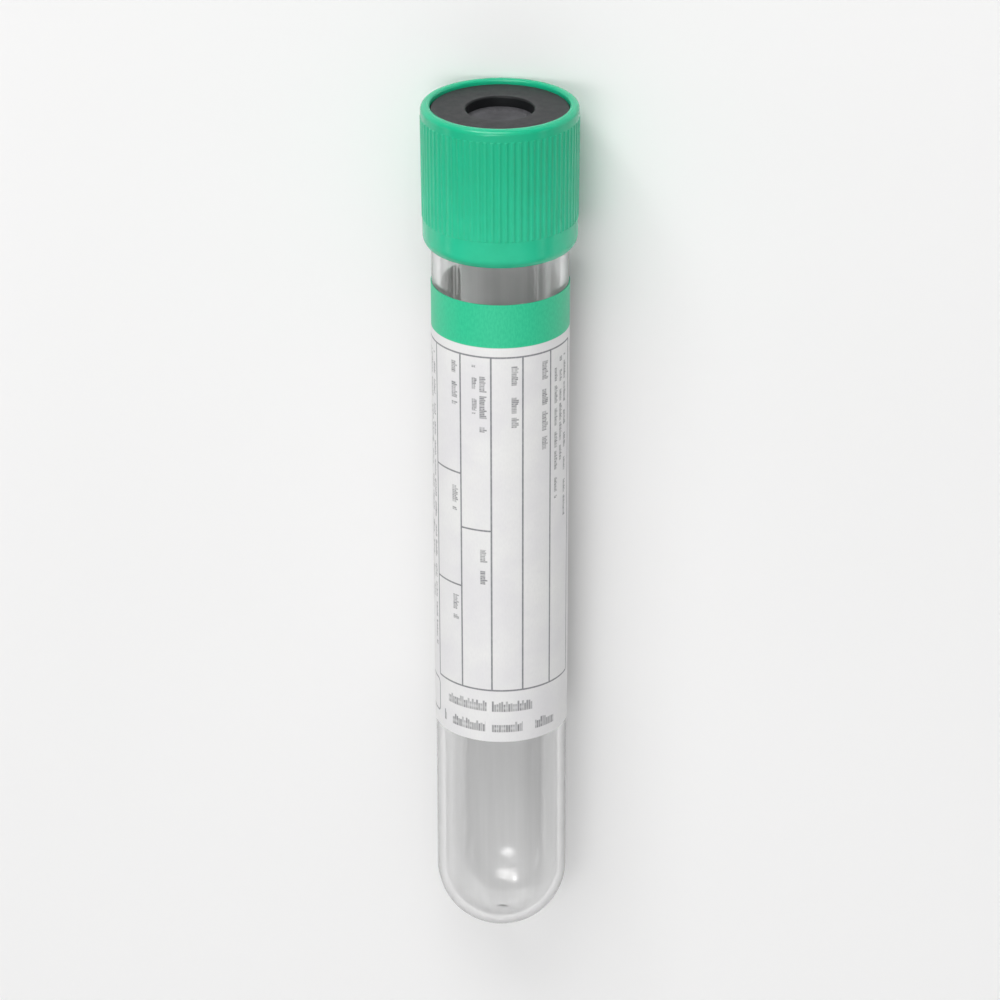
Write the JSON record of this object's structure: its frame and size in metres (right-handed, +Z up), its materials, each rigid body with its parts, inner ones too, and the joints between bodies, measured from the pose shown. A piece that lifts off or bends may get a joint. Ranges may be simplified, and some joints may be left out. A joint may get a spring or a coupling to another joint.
{
  "type": "blood collection tube",
  "caption": "Evacuated blood sample tube: clear round-bottomed tube with a wrap-round label and a ribbed pull-off cap that holds a rubber stopper.",
  "frame": {"origin": "on the floor, under the middle of the lying tube", "axes": "+Y along the tube towards the cap, less the 0.87 degrees by which the cap end lies higher; +Z up, through the middle of the label; +X to the right with the cap ahead"},
  "size_m": [0.0182, 0.105, 0.0183],
  "materials": {
    "clear_pet": "clear, glossy",
    "stopper_rubber": "matt, dusty black",
    "ring_plastic": "satin black",
    "cap_plastic": "satin gloss",
    "label_paper": "satin print, a green band at the cap end"
  },
  "bodies": {
    "tube": {"tube": "clear_pet", "label": "label_paper"},
    "closure": {"cap_shell": "cap_plastic", "retaining_ring": "ring_plastic", "stopper": "stopper_rubber"}
  },
  "joints": [
    {"name": "closure_pull", "type": "slide", "parent": "tube", "child": "closure", "axis": [0, 0.9999, 0.0152], "range_m": [0, 0.04]}
  ]
}
